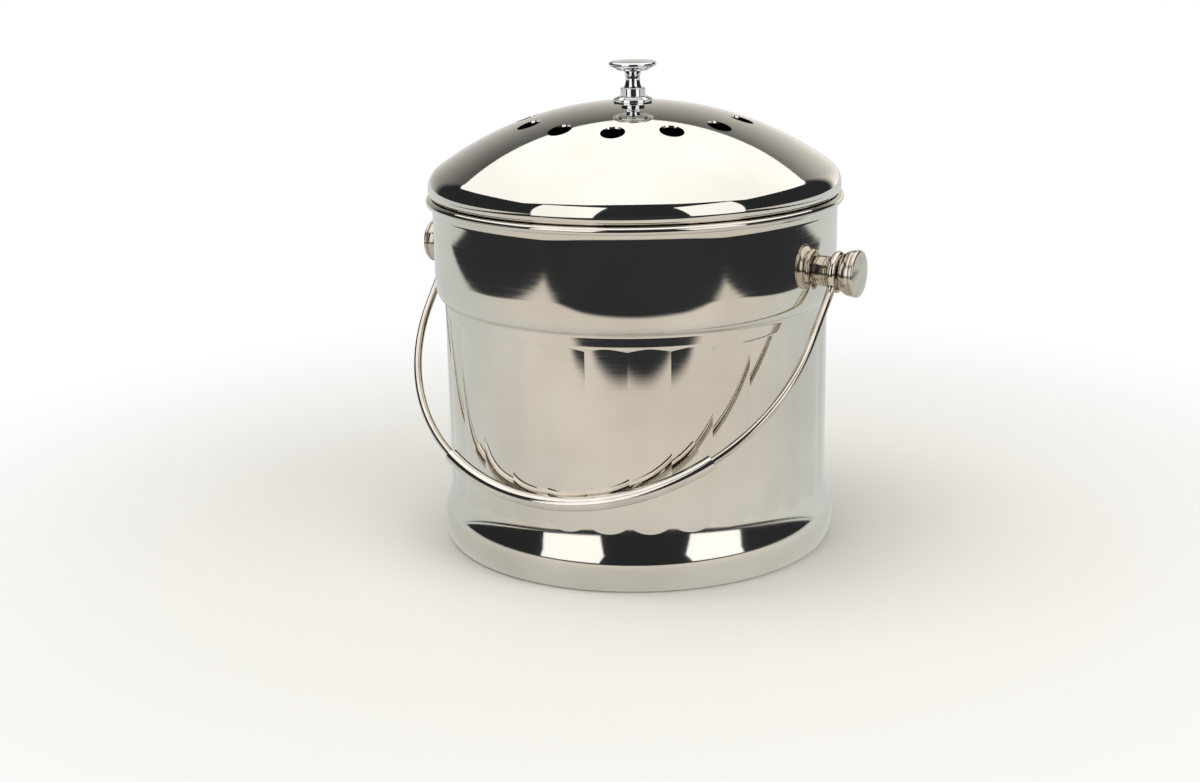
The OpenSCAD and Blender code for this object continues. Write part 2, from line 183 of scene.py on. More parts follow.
# Runs a node tree on a mesh and gives back the plain mesh that it makes.
def meshFromNodes(mesh, tree, values):
    maker = bpy.data.objects.new(mesh.name + "Maker", mesh)
    bpy.context.scene.collection.objects.link(maker)
    modifier = maker.modifiers.new("nodes", "NODES")
    modifier.node_group = tree
    for item in tree.interface.items_tree:
        if item.item_type == "SOCKET" and item.name in values:
            modifier[item.identifier] = values[item.name]
    evaluated = maker.evaluated_get(bpy.context.evaluated_depsgraph_get())
    made = bpy.data.meshes.new_from_object(evaluated)
    made.name = mesh.name
    maker.modifiers.remove(modifier)
    bpy.data.objects.remove(maker)
    return made


def newNodeTree(name, sockets):
    tree = bpy.data.node_groups.new(name, "GeometryNodeTree")
    for label, kind in [("Geometry", "NodeSocketGeometry"), *sockets]:
        tree.interface.new_socket(label, in_out="INPUT", socket_type=kind)
    tree.interface.new_socket("Geometry", in_out="OUTPUT", socket_type="NodeSocketGeometry")
    return tree, tree.nodes.new("NodeGroupInput").outputs


# Repeats one sector of a round piece about the axis and joins the sectors.
def makeRingTree():
    tree, given = newNodeTree("ringOfSectors", [
        ("Sectors", "NodeSocketInt"), ("First turn", "NodeSocketFloat"),
        ("Weld distance", "NodeSocketFloat"), ("Material", "NodeSocketMaterial")])
    row = addNode(tree, "GeometryNodeMeshLine", {"Offset": (0, 0, 0)}, {"Count": given["Sectors"]})
    index = addNode(tree, "GeometryNodeInputIndex")
    pitch = arithmetic(tree, "DIVIDE", math.tau, given["Sectors"])
    turn = arithmetic(tree, "MULTIPLY_ADD", index.outputs[0], pitch, given["First turn"])
    about = addNode(tree, "ShaderNodeCombineXYZ", {}, {"Z": turn})
    copies = addNode(tree, "GeometryNodeInstanceOnPoints", {}, {
        "Points": row.outputs[0], "Instance": given["Geometry"], "Rotation": about.outputs[0]})
    real = addNode(tree, "GeometryNodeRealizeInstances", {}, {0: copies.outputs[0]})
    weld = addNode(tree, "GeometryNodeMergeByDistance", {},
                   {"Geometry": real.outputs[0], "Distance": given["Weld distance"]})
    painted = addNode(tree, "GeometryNodeSetMaterial", {},
                      {"Geometry": weld.outputs[0], "Material": given["Material"]})
    addNode(tree, "NodeGroupOutput", {}, {0: painted.outputs[0]})
    return tree


# A whole ring from one sector. Each corner's kept normal is turned along with its sector.
def ringMesh(name, sectorSheets, count, firstTurn, material):
    sector = weldedMesh(name, sectorSheets)
    made = meshFromNodes(sector, ringTree, {
        "Sectors": count, "First turn": math.radians(firstTurn), "Weld distance": 0.000003,
        "Material": material})
    corners = len(made.loops)
    stored = np.empty(corners * 3, np.float32)
    made.attributes["cornerNormal"].data.foreach_get("vector", stored)
    stored = stored.reshape(-1, 3)
    centres = np.empty(len(made.polygons) * 3, np.float32)
    made.polygons.foreach_get("center", centres)
    centres = centres.reshape(-1, 3)
    sides = np.empty(len(made.polygons), np.int32)
    made.polygons.foreach_get("loop_total", sides)
    azimuth = np.degrees(np.arctan2(centres[:, 1], centres[:, 0])) - firstTurn
    turn = np.radians(np.round(azimuth / (360 / count)) * (360 / count) + firstTurn)
    turn = np.repeat(turn, sides)
    turned = np.column_stack([
        stored[:, 0] * np.cos(turn) - stored[:, 1] * np.sin(turn),
        stored[:, 0] * np.sin(turn) + stored[:, 1] * np.cos(turn), stored[:, 2]])
    setCornerNormals(made, turned)
    return made


# A round wire along a chain of points; the taper rounds its ends.
def makeWireTree():
    tree, given = newNodeTree("wireAlongPath", [
        ("Wire radius", "NodeSocketFloat"), ("Sides", "NodeSocketInt"), ("Material", "NodeSocketMaterial")])
    path = addNode(tree, "GeometryNodeMeshToCurve", {}, {0: given["Geometry"]})
    taper = addNode(tree, "GeometryNodeInputNamedAttribute", {"data_type": "FLOAT", "Name": "taper"})
    tapered = addNode(tree, "GeometryNodeSetCurveRadius", {},
                      {"Curve": path.outputs[0], "Radius": taper.outputs[0]})
    ring = addNode(tree, "GeometryNodeCurvePrimitiveCircle", {},
                   {"Resolution": given["Sides"], "Radius": given["Wire radius"]})
    tube = addNode(tree, "GeometryNodeCurveToMesh", {"Fill Caps": True},
                   {"Curve": tapered.outputs[0], "Profile Curve": ring.outputs[0]})
    if "Scale" in tube.inputs:
        tree.links.new(taper.outputs[0], tube.inputs["Scale"])
    real = addNode(tree, "GeometryNodeRealizeInstances", {}, {0: tube.outputs[0]})
    painted = addNode(tree, "GeometryNodeSetMaterial", {},
                      {"Geometry": real.outputs[0], "Material": given["Material"]})
    addNode(tree, "NodeGroupOutput", {}, {0: painted.outputs[0]})
    return tree


ringTree = makeRingTree()
wireTree = makeWireTree()
print("node trees made")

# Metals. grain is the size of a polishing mark along X, Y and Z, depth is how deep it shows.
finishes = {
    # Stainless sheet, buffed to a mirror: warm grey, reflections crisp with faint marks round the wall
    "buffedStainlessPail": dict(light="#E6E1D8", dark="#D8D2C8", rough=(0.035, 0.085),
                                grain=(60, 60, 0.9), depth=0.0016, cloud=55),
    # The same sheet on the lid, spun and buffed: marks run round the dome
    "buffedStainlessLid": dict(light="#E8E4DC", dark="#DAD5CC", rough=(0.03, 0.07),
                               grain=(45, 45, 1.2), depth=0.0010, cloud=60),
    # Rolled stainless strip inside the lid: a satin mill finish
    "satinStainlessCollar": dict(light="#CFCCC6", dark="#B9B5AE", rough=(0.2, 0.32),
                                 grain=(70, 70, 0.8), depth=0.003, cloud=40),
    # Chrome-plated brass knob: the coldest and sharpest reflections on the caddy
    "chromePlatedKnob": dict(light="#E4E5E6", dark="#D4D6D8", rough=(0.03, 0.06),
                             grain=(30, 30, 0.6), depth=0.0008, cloud=14),
    # Zinc-plated steel screws: dull grey
    "zincPlatedScrew": dict(light="#BFC1C2", dark="#A6A8A9", rough=(0.22, 0.36),
                            grain=(2, 2, 2), depth=0.004, cloud=6),
    # Nickel-plated steel wire: warm, with drawing marks along it
    "nickelPlatedWire": dict(light="#DDD6CB", dark="#C9C1B4", rough=(0.09, 0.16),
                             grain=(5, 5, 5), depth=0.0015, cloud=16),
    # Stainless tube of the grip: bright, slightly satin
    "brightTubeGrip": dict(light="#E5E0D8", dark="#D5CFC6", rough=(0.07, 0.13),
                           grain=(8, 8, 8), depth=0.0012, cloud=18),
    # Nickel-plated turned brass posts: warm, with a faintly satin face
    "nickelPlatedPost": dict(light="#D9D1C4", dark="#C4BBAC", rough=(0.12, 0.2),
                             grain=(3, 3, 3), depth=0.0012, cloud=9),
}

# Plain materials that aren't metal
softFinishes = {
    # Nitrile rubber seal: near black, matt
    "nitrileRubberSeal": dict(light="#3C3D3F", dark="#2C2D2F", rough=(0.55, 0.7), spot=1.5, depth=0.03),
    # Moulded polypropylene: dark grey with a fine spark-eroded texture
    "mouldedPolypropylene": dict(light="#35373A", dark="#28292C", rough=(0.38, 0.5), spot=0.9, depth=0.03),
    # Activated carbon felt: black open fibre
    "activatedCarbonFelt": dict(light="#232427", dark="#131416", rough=(0.85, 0.98), spot=0.7, depth=0.35),
}


def blankMaterial(name):
    material = bpy.data.materials.new(name)
    material.use_nodes = True
    material.node_tree.nodes.clear()
    return material, material.node_tree


# A colour between a finish's dark and light tones
def toneBetween(tree, share, values):
    ramp = addNode(tree, "ShaderNodeValToRGB", {}, {"Fac": share})
    low, high = ramp.color_ramp.elements
    low.position, high.position = 0.35, 0.65
    low.color, high.color = linearColour(values["dark"]), linearColour(values["light"])
    return ramp.outputs[0]


def roughBetween(tree, share, values, settings):
    low, high = values["rough"]
    return addNode(tree, "ShaderNodeMapRange", {"To Min": low, "To Max": high, **settings},
                   {"Value": share}).outputs[0]


def metalFinish(name, values):
    material, tree = blankMaterial(name)
    place = addNode(tree, "ShaderNodeTexCoord").outputs["Object"]
    scaled = addNode(tree, "ShaderNodeMapping", {"Scale": [1000 / g for g in values["grain"]]},
                     {"Vector": place})
    marks = addNode(tree, "ShaderNodeTexNoise", {"Scale": 1.0, "Detail": 5.0, "Roughness": 0.6},
                    {"Vector": scaled.outputs[0]}).outputs["Fac"]
    cloud = addNode(tree, "ShaderNodeTexNoise", {"Scale": 1000 / values["cloud"], "Detail": 3.0},
                    {"Vector": place}).outputs["Fac"]
    rough = roughBetween(tree, arithmetic(tree, "MULTIPLY", marks, cloud), values,
                         {"From Min": 0.12, "From Max": 0.4})
    bump = addNode(tree, "ShaderNodeBump", {"Strength": 1.0, "Distance": values["depth"] * metre},
                   {"Height": marks})
    shader = addNode(tree, "ShaderNodeBsdfPrincipled", {"Metallic": 1.0}, {
        "Base Color": toneBetween(tree, cloud, values), "Roughness": rough, "Normal": bump.outputs[0]})
    addNode(tree, "ShaderNodeOutputMaterial", {}, {"Surface": shader.outputs[0]})
    return material


def softFinish(name, values):
    material, tree = blankMaterial(name)
    place = addNode(tree, "ShaderNodeTexCoord").outputs["Object"]
    spots = addNode(tree, "ShaderNodeTexNoise", {"Scale": 1000 / values["spot"], "Detail": 4.0},
                    {"Vector": place}).outputs["Fac"]
    bump = addNode(tree, "ShaderNodeBump", {"Strength": 0.6, "Distance": values["depth"] * metre},
                   {"Height": spots})
    shader = addNode(tree, "ShaderNodeBsdfPrincipled", {}, {
        "Base Color": toneBetween(tree, spots, values), "Roughness": roughBetween(tree, spots, values, {}),
        "Normal": bump.outputs[0]})
    addNode(tree, "ShaderNodeOutputMaterial", {}, {"Surface": shader.outputs[0]})
    return material


materials = {name: metalFinish(name, values) for name, values in finishes.items()}
materials.update({name: softFinish(name, values) for name, values in softFinishes.items()})
print("materials made")

# The pail: a spun wall whose fluted panels are arcs of circles that meet in creases
pail = dict(bandR=90, rimZ=155.2, bandH=38.2, beadR=1.8, beadInset=0.05, wall=0.8,
            stepRoundShare=0.815, stepSlope=50, bodyInset=4, flutes=30, panelR=42, relief=0.8,
            crestClear=0.1, fadeDrop=12.6, fadeR=5, footFlare=3.6, footZ=9.5, footRoundR=20, footSlope=20,
            cornerR=2.5, easeR=95, easeH=8, flareR=12, flareH=3.2, columnsPerFlute=12)
pail["boreR"] = pail["bandR"] - pail["wall"]
pail["beadCr"] = pail["boreR"] + pail["beadInset"] + pail["beadR"]
pail["bandLowZ"] = pail["rimZ"] - pail["bandH"]
pail["crestR"] = pail["bandR"] - pail["bodyInset"]
pail["hiddenR"] = pail["crestR"] - pail["relief"]
pail["plainR"] = pail["crestR"] + pail["crestClear"]
pail["footCr"] = pail["crestR"] + pail["footFlare"] - pail["footRoundR"]
pail["fadeZ"] = pail["bandLowZ"] - pail["fadeDrop"]
pail["fadeTurn"] = math.acos(1 - (pail["plainR"] - pail["hiddenR"]) / (2 * pail["fadeR"]))
pail["fadeHighZ"] = pail["fadeZ"] + pail["fadeR"] * math.sin(pail["fadeTurn"])
pail["easeTurn"] = math.asin(pail["easeH"] / pail["easeR"])
pail["easeHighZ"] = pail["bandLowZ"] + pail["easeH"]


# From the middle of the base, round the corner and up the foot
def footStrips(p, inset):
    cornerReach, cornerDz = p["footRoundR"] - p["cornerR"], p["cornerR"] - p["footZ"]
    cornerCr = p["footCr"] + math.sqrt(cornerReach ** 2 - cornerDz ** 2)
    cornerEnd = math.degrees(math.asin(cornerDz / cornerReach))
    return [lineStrip((0, inset), (cornerCr, inset), 8),
            arcStrip(cornerCr, p["cornerR"], p["cornerR"] - inset, -90, cornerEnd, 12),
            arcStrip(p["footCr"], p["footZ"], p["footRoundR"] - inset, cornerEnd, p["footSlope"], 22)]


# From the flutes' upper end up the plain ring and out over the step, which the band eases into
def stepStrips(p, inset):
    slope, easeDeg = math.radians(p["stepSlope"]), math.degrees(p["easeTurn"])
    lowR = p["bandR"] - p["easeR"] * (1 - math.cos(p["easeTurn"]))
    curveR = (lowR - p["plainR"]) / (math.cos(p["easeTurn"]) - math.cos(slope))
    roundR = curveR * p["stepRoundShare"]
    hollowR = curveR - roundR
    roundCr = lowR - roundR * math.cos(p["easeTurn"])
    roundCz = p["bandLowZ"] + roundR * math.sin(p["easeTurn"])
    stepLowZ = roundCz - curveR * math.sin(slope)
    return [lineStrip((p["plainR"] - inset, p["fadeHighZ"]), (p["plainR"] - inset, stepLowZ), 3),
            arcStrip(p["plainR"] + hollowR, stepLowZ, hollowR + inset, 180, 180 - p["stepSlope"], 10),
            arcStrip(roundCr, roundCz, roundR - inset, -p["stepSlope"], -easeDeg, 20),
            arcStrip(p["bandR"] - p["easeR"], p["easeHighZ"], p["easeR"] - inset, -easeDeg, 0, 12)]


# Rows of points from one edge of a sheet to the other
def rowsBetween(start, end, count):
    return start + np.linspace(0, 1, count + 1)[:, None] * (end - start)


# The waist above the foot. Its rows end where it meets the panel, which is a height for each column.
def waistSheet(p, angles, panel, inset):
    slope = math.radians(p["footSlope"])
    waistR = (p["footCr"] + p["footRoundR"] * math.cos(slope) - p["hiddenR"]) / (1 - math.cos(slope))
    waistCr, waistCz = p["hiddenR"] + waistR, p["footZ"] + (p["footRoundR"] + waistR) * math.sin(slope)
    meet = math.pi + np.arccos((waistCr - panel) / (waistR + inset))
    t = rowsBetween(math.pi + slope, meet, 14)
    radial, rise = waistCr + (waistR + inset) * np.cos(t), waistCz + (waistR + inset) * np.sin(t)
    position, outward, axial = roundZ(radial, rise, np.broadcast_to(angles, t.shape))
    return (position, -outward * np.cos(t)[..., None] - axial * np.sin(t)[..., None]), rise[-1]


# The fade: a hollow and a crown curve that lead from the panel out to the plain ring
def fadeSheet(p, angles, panel, inset):
    hiddenR, plainR, fadeR, turn = p["hiddenR"], p["plainR"], p["fadeR"], p["fadeTurn"]
    lowZ = p["fadeZ"] - fadeR * math.sin(turn)
    hollow, crown = fadeR + inset, fadeR - inset
    middle = (hiddenR + fadeR) - hollow * math.cos(turn)
    meet = np.where(panel < middle,
                    np.arccos(np.clip((hiddenR + fadeR - panel) / hollow, -1, 1)),
                    2 * turn - np.arccos(np.clip((panel - plainR + fadeR) / crown, -1, 1)))
    t = rowsBetween(meet, 2 * turn, 14)
    below = t < turn
    radial = np.where(below, hiddenR + fadeR - hollow * np.cos(t),
                      plainR - fadeR + crown * np.cos(2 * turn - t))
    rise = np.where(below, lowZ + hollow * np.sin(t), p["fadeHighZ"] - crown * np.sin(2 * turn - t))
    lean = np.where(below, t, 2 * turn - t)
    position, outward, axial = roundZ(radial, rise, np.broadcast_to(angles, t.shape))
    return (position, outward * np.cos(lean)[..., None] - axial * np.sin(lean)[..., None]), rise[0]


# One flute's width of the wall, from the middle of the base up to the band
def wallSheets(p, inset):
    half = 180 / p["flutes"]
    angles = np.radians(np.linspace(-half, half, p["columnsPerFlute"] + 1))
    centre = p["crestR"] - p["panelR"]
    panel = centre * np.cos(angles) + np.sqrt((p["panelR"] - inset) ** 2 - (centre * np.sin(angles)) ** 2)
    waist, lowEdge = waistSheet(p, angles, panel, inset)
    fade, highEdge = fadeSheet(p, angles, panel, inset)
    rise = rowsBetween(lowEdge, highEdge, 12)
    position = roundZ(np.broadcast_to(panel, rise.shape), rise, np.broadcast_to(angles, rise.shape))[0]
    fromCentre = position * (1, 1, 0) - (centre, 0, 0)
    flute = (position, fromCentre / np.linalg.norm(fromCentre, axis=-1)[..., None])
    below = turnedSheets(footStrips(p, inset), angles, roundZ)
    above = turnedSheets(stepStrips(p, inset), angles, roundZ)
    return below + [waist, flute, fade] + above, angles


# The whole wall, inside and out, with the band's top and the rolled rim
def pailMesh(p, material):
    outer, angles = wallSheets(p, 0)
    inner = [(position[::-1], -normal[::-1]) for position, normal in reversed(wallSheets(p, p["wall"])[0])]
    # Under the bead the wall flares out a little before it meets the bead
    flare = math.asin(p["flareH"] / p["flareR"])
    flareOutR = p["bandR"] + p["flareR"] * (1 - math.cos(flare))
    meet = math.acos((flareOutR - p["beadCr"]) / p["beadR"])
    flareLowZ = p["rimZ"] - p["beadR"] * math.sin(meet) - p["flareH"]
    top = [lineStrip((p["bandR"], p["easeHighZ"]), (p["bandR"], flareLowZ), 10),
           arcStrip(p["bandR"] + p["flareR"], flareLowZ, p["flareR"], 180, 180 - math.degrees(flare), 10),
           arcStrip(p["beadCr"], p["rimZ"], p["beadR"], -math.degrees(meet), 180, 26),
           lineStrip((p["beadCr"] - p["beadR"], p["rimZ"]), (p["boreR"], p["rimZ"])),
           lineStrip((p["boreR"], p["rimZ"]), (p["boreR"], p["easeHighZ"]), 8)]
    sheets = outer + turnedSheets(top, angles, roundZ) + inner
    return ringMesh("pailWall", sheets, p["flutes"], 0, material)


addPiece("pailWall", pailMesh(pail, materials["buffedStainlessPail"]), "pail",
         ["pail_shell"], materials["buffedStainlessPail"])
print("pail made")

# The lid: a dome with a tight shoulder and a curled edge, and a ring of vent holes
lid = dict(overhang=1.7, shoulderR=10.56, rise=36.6, curlR=4.1, sheet=0.8, seatGap=0.3, vents=12, ventD=10.6,
           ventRingR=47.9, ventTurn=16, knobHoleR=2.2, patchIn=39, patchOut=57, columnsPerVent=30,
           patchRows=10, ringsRoundHole=7, collarGap=1)
lid["lidR"] = pail["bandR"] + lid["overhang"]
lid["curlCr"] = lid["lidR"] - lid["curlR"]
lid["collarR"] = pail["boreR"] - lid["collarGap"]
lid["wideZ"] = pail["rimZ"] + math.sqrt((lid["curlR"] + pail["beadR"] + lid["seatGap"]) ** 2
                                        - (pail["beadCr"] - lid["curlCr"]) ** 2)
lid["topZ"] = lid["wideZ"] + lid["rise"]
lid["domeR"] = ((lid["lidR"] - lid["shoulderR"]) ** 2 + lid["rise"] ** 2 - lid["shoulderR"] ** 2) \
    / (2 * (lid["rise"] - lid["shoulderR"]))
lid["domeCz"] = lid["topZ"] - lid["domeR"]


# The part of the dome round one vent hole, as rings of points between the hole and the patch's edge
def ventPatch(q, inset):
    domeR = q["domeR"] - inset
    half = math.radians(180 / q["vents"])
    across = np.linspace(-half, half, q["columnsPerVent"] + 1)
    down = np.linspace(q["patchIn"], q["patchOut"], q["patchRows"] + 1)
    edge = ([(q["patchIn"], a) for a in across] + [(r, half) for r in down[1:]]
            + [(q["patchOut"], a) for a in across[::-1][1:]] + [(r, -half) for r in down[::-1][1:]])
    edge = np.array([(r * math.cos(a), r * math.sin(a)) for r, a in edge])
    fromHole = edge - (q["ventRingR"], 0)
    bearing = np.arctan2(fromHole[:, 1], fromHole[:, 0])
    hole = np.column_stack([np.cos(bearing), np.sin(bearing)]) * q["ventD"] / 2 + (q["ventRingR"], 0)
    share = (np.linspace(0, 1, q["ringsRoundHole"] + 1) ** 1.4)[:, None, None]
    plan = hole + share * (edge - hole)
    height = q["domeCz"] + np.sqrt(domeR ** 2 - (plan ** 2).sum(-1))
    position = np.dstack([plan, height])
    normal = (position - (0, 0, q["domeCz"])) / domeR
    return position, normal, bearing


# The lid in twelve sectors, each with one vent hole
def lidMesh(q, material):
    domeDz = q["wideZ"] - q["domeCz"]
    shoulderR = q["shoulderR"]
    shoulderCr = q["lidR"] - shoulderR
    shoulderEnd = math.degrees(math.atan2(domeDz, shoulderCr))
    half = math.radians(180 / q["vents"])
    angles = np.linspace(-half, half, q["columnsPerVent"] + 1)

    def domeAt(radius, inset):
        return math.degrees(math.acos(radius / (q["domeR"] - inset)))

    def sheetsAt(inset):
        curlEnd = -math.degrees(math.acos((q["collarR"] - q["curlCr"]) / (q["curlR"] - inset)))
        domeR = q["domeR"] - inset
        return [arcStrip(q["curlCr"], q["wideZ"], q["curlR"] - inset, curlEnd, 0, 16),
                arcStrip(shoulderCr, q["wideZ"], shoulderR - inset, 0, shoulderEnd, 26),
                arcStrip(0, q["domeCz"], domeR, shoulderEnd, domeAt(q["patchOut"], inset), 14),
                arcStrip(0, q["domeCz"], domeR, domeAt(q["patchIn"], inset),
                         domeAt(q["knobHoleR"], inset), 14)]

    outer = turnedSheets(sheetsAt(0), angles, roundZ)
    inner = [(position[::-1], -normal[::-1])
             for position, normal in turnedSheets(sheetsAt(q["sheet"]), angles, roundZ)]
    patchOut, normalOut, bearing = ventPatch(q, 0)
    patchIn, normalIn, _ = ventPatch(q, q["sheet"])
    holeOut = -np.column_stack([np.cos(bearing), np.sin(bearing), np.zeros_like(bearing)])
    holeWall = (np.stack([patchIn[0], patchOut[0]]), np.stack([holeOut, holeOut]))
    down = np.broadcast_to((0.0, 0.0, -1.0), (2, len(angles), 3))
    curlEdge = (np.stack([inner[0][0][-1], outer[0][0][0]]), down)
    towardAxis = -outer[0][1][0]
    knobEdge = (np.stack([outer[3][0][-1], inner[3][0][0]]), np.stack([towardAxis, towardAxis]))
    patches = [(patchOut, normalOut), (patchIn[::-1], -normalIn[::-1])]
    sheets = outer + inner + patches + [holeWall, curlEdge, knobEdge]
    return ringMesh("lidDome", sheets, q["vents"], q["ventTurn"] - 90, material)


addPiece("lidDome", lidMesh(lid, materials["buffedStainlessLid"]), "lid",
         ["lid_shell"], materials["buffedStainlessLid"])
print("lid made")

# The turned knob on the lid, and the sloping washer under it
knob = dict(headR=10.6, edgeR=1.1, edgeDrop=1.5, edgeTurn=78, ledgeW=0.9, ledgeH=0.3, underR=7.2,
            underH=0.6, underStep=0.5, underDrop=1.5, neckR=3.2, collarR=5.5, collarH=3.8, height=15.6,
            washerR=8.8, washerH=1.9, washerEdgeH=0.9, washerFlat=1.2, washerLift=0.02, crownR=90,
            neckCurveR=9, columns=120)


# Collar, waisted neck, the steps under the head, its round edge and its flat crown
def knobStrips(k):
    base = lid["topZ"] + k["washerH"]
    top = base + k["height"]
    edgeZ = top - k["edgeDrop"]
    underZ = edgeZ - k["edgeR"]
    neckLow, neckHigh = base + k["collarH"], underZ - k["underDrop"]
    halfNeck = (neckHigh - neckLow) / 2
    swing = math.degrees(math.asin(halfNeck / k["neckCurveR"]))
    edgeCr = k["headR"] - k["edgeR"]
    crownDeg = math.degrees(math.acos(edgeCr / k["crownR"]))
    neck = arcStrip(k["neckR"] + k["neckCurveR"], neckLow + halfNeck, k["neckCurveR"],
                    180 + swing, 180 - swing, 16)
    foot = roundedPath([(0, base, 0), (k["collarR"], base, 0.3), (k["collarR"], neckLow, 0.35),
                        (*neck[0][0], 0)])
    underR, underTop, ledgeR = k["underR"], neckHigh + k["underH"], edgeCr - k["ledgeW"]
    under = roundedPath([(*neck[0][-1], 0), (underR, neckHigh, 0.2), (underR, underTop, 0.12),
                         (underR + k["underStep"], underTop, 0.12), (ledgeR, underZ - k["ledgeH"], 0.1),
                         (ledgeR + k["ledgeH"], underZ, 0.1), (edgeCr, underZ, 0)])
    edge = arcStrip(edgeCr, edgeZ, k["edgeR"], -90, k["edgeTurn"], 14)
    crown = arcStrip(0, top - k["crownR"], k["crownR"], crownDeg, 90, 12)
    link = lineStrip(edge[0][-1], crown[0][0])
    link = (link[0], np.stack([edge[1][-1], crown[1][0]]))
    return foot + [neck] + under + [edge, link, crown]


fullTurn = np.linspace(0, math.tau, knob["columns"] + 1)
addPiece("lidKnob", weldedMesh("lidKnob", turnedSheets(knobStrips(knob), fullTurn, roundZ)),
         "lid", ["lid_knob"], materials["chromePlatedKnob"])


def washerStrips(k):
    seatAt = lid["domeCz"] + math.sqrt(lid["domeR"] ** 2 - k["washerR"] ** 2) + k["washerLift"]
    edgeTop, top = lid["topZ"] + k["washerEdgeH"], lid["topZ"] + k["washerH"]
    return roundedPath([(0, seatAt, 0), (k["washerR"], seatAt, 0.1), (k["washerR"], edgeTop, 0.35),
                        (k["collarR"] + k["washerFlat"], top, 0.3), (0, top, 0)])


addPiece("knobWasher", weldedMesh("knobWasher", turnedSheets(washerStrips(knob), fullTurn, roundZ)),
         "lid", ["knob_washer"], materials["chromePlatedKnob"])
print("knob made")

# The posts that carry the bail, with their grooved spacers
post = dict(axleDrop=27.7, reach=17.2, headR=10.2, neckR=5.2, crownR=60, edgeR=1, sideInset=0.3,
            backRoundR=6, backRoundDrop=3.58, grooveDrop=2.8, grooveDepth=0.6, grooveBack=0.35,
            grooveFront=0.45, rimInset=0.05, spacerW=3.4, spacerR=6.6, spacerSink=0.3, ringGrooveDepth=0.7,
            ringGrooveW=0.5, ringGrooveGap=1.2, ringGrooveBack=0.2, columns=96)
post["axleZ"] = pail["rimZ"] - post["axleDrop"]
post["faceX"] = pail["bandR"] + post["reach"]
post["spacerX"] = pail["bandR"] + post["spacerW"]


# Turns a section about the post's axis; side is 1 to the right and -1 to the left
def roundX(side):
    def place(r, h, a):
        outward = np.stack([np.zeros_like(a), np.cos(a), np.sin(a)], -1)
        axial = np.broadcast_to((1.0, 0.0, 0.0), outward.shape)
        turned = np.array([side, side, 1.0])
        position = outward * r[..., None] + axial * h[..., None]
        return position * turned + (0, 0, post["axleZ"]), outward * turned, axial * turned
    return place


# The head is crowned in front, grooved behind its rim and rounded at the back, clear of the bail's eye
def postStrips(p):
    sideR, edgeCr = p["headR"] - p["sideInset"], p["headR"] - p["edgeR"]
    backCr, backCx = sideR - p["backRoundR"], p["faceX"] - p["backRoundDrop"]
    backDeg = math.degrees(math.acos((p["neckR"] - backCr) / p["backRoundR"]))
    crownCx, grooveX = p["faceX"] - p["crownR"], p["faceX"] - p["grooveDrop"]
    edgeDx = math.sqrt((p["crownR"] - p["edgeR"]) ** 2 - edgeCr ** 2)
    crownDeg = math.degrees(math.atan2(edgeDx, edgeCr))
    back = arcStrip(backCr, backCx, p["backRoundR"], -backDeg, 0, 24)
    edge = arcStrip(edgeCr, crownCx + edgeDx, p["edgeR"], 0, crownDeg, 10)
    crown = arcStrip(0, crownCx, p["crownR"], crownDeg, 90, 16)
    neck = roundedPath([(0, p["spacerX"], 0), (p["neckR"], p["spacerX"], 0), (*back[0][0], 0)])
    grooveR = sideR - p["grooveDepth"]
    groove = roundedPath([(*back[0][-1], 0), (sideR, grooveX - p["grooveBack"], 0.1),
                          (grooveR, grooveX, 0.12),
                          (p["headR"] - p["rimInset"], grooveX + p["grooveFront"], 0.12), (*edge[0][0], 0)])
    return neck + [back] + groove + [edge, crown]


# The spacer starts inside the wall's face and has two ring grooves
def spacerStrips(p):
    firstX = (pail["bandR"] + p["spacerX"]) / 2 - p["ringGrooveBack"]
    startX = pail["bandR"] - p["spacerSink"]
    high, low = p["spacerR"], p["spacerR"] - p["ringGrooveDepth"]
    corners = [(0, startX, 0), (high, startX, 0.05)]
    for x in (firstX, firstX + p["ringGrooveGap"]):
        end = x + p["ringGrooveW"]
        corners += [(high, x, 0.12), (low, x, 0.12), (low, end, 0.12), (high, end, 0.12)]
    return roundedPath(corners + [(high, p["spacerX"], 0.15), (0, p["spacerX"], 0)])


postTurn = np.linspace(0, math.tau, post["columns"] + 1)
for side, label in ((1, "right"), (-1, "left")):
    for piece, strips in (("post", postStrips(post)), ("spacer", spacerStrips(post))):
        mesh = weldedMesh(f"{piece}{label.title()}", turnedSheets(strips, postTurn, roundX(side)))
        addPiece(mesh.name, mesh, "pail", [f"{piece}_{label}"],
                 materials["nickelPlatedPost"])
print("posts made")

# The bail: a wire that runs from eye to eye, and the loose sleeve on its bow
bail = dict(wireR=1.8, restZ=38.4, eyeOut=6.32, spread=2.8, eyeR=7.4, bendR=6, eyeTurn=300, sides=28,
            gripR=3.1, gripGap=0.15, gripArc=79.7, gripShift=6.65, gripChamfer=0.25, restGap=0.3,
            gripColumns=40)
restSide = pail["crestR"] + bail["restGap"] + bail["gripR"]
restDrop = post["axleZ"] - bail["restZ"]
bail["reach"] = math.hypot(restSide, restDrop)
bail["eyeX"] = pail["bandR"] + bail["eyeOut"]
bail["bowR"] = (bail["eyeX"] - bail["reach"] * math.tan(math.radians(bail["spread"]))) \
    / (1 / math.cos(math.radians(bail["spread"])) - math.tan(math.radians(bail["spread"])))


# Swings points about the axle's own origin, from hanging straight down to resting on the pail
def atRest(points):
    turn = math.atan2(restSide, restDrop)
    y = points[..., 1] * math.cos(turn) + points[..., 2] * math.sin(turn)
    z = points[..., 2] * math.cos(turn) - points[..., 1] * math.sin(turn)
    return np.stack([points[..., 0], y, z], -1)


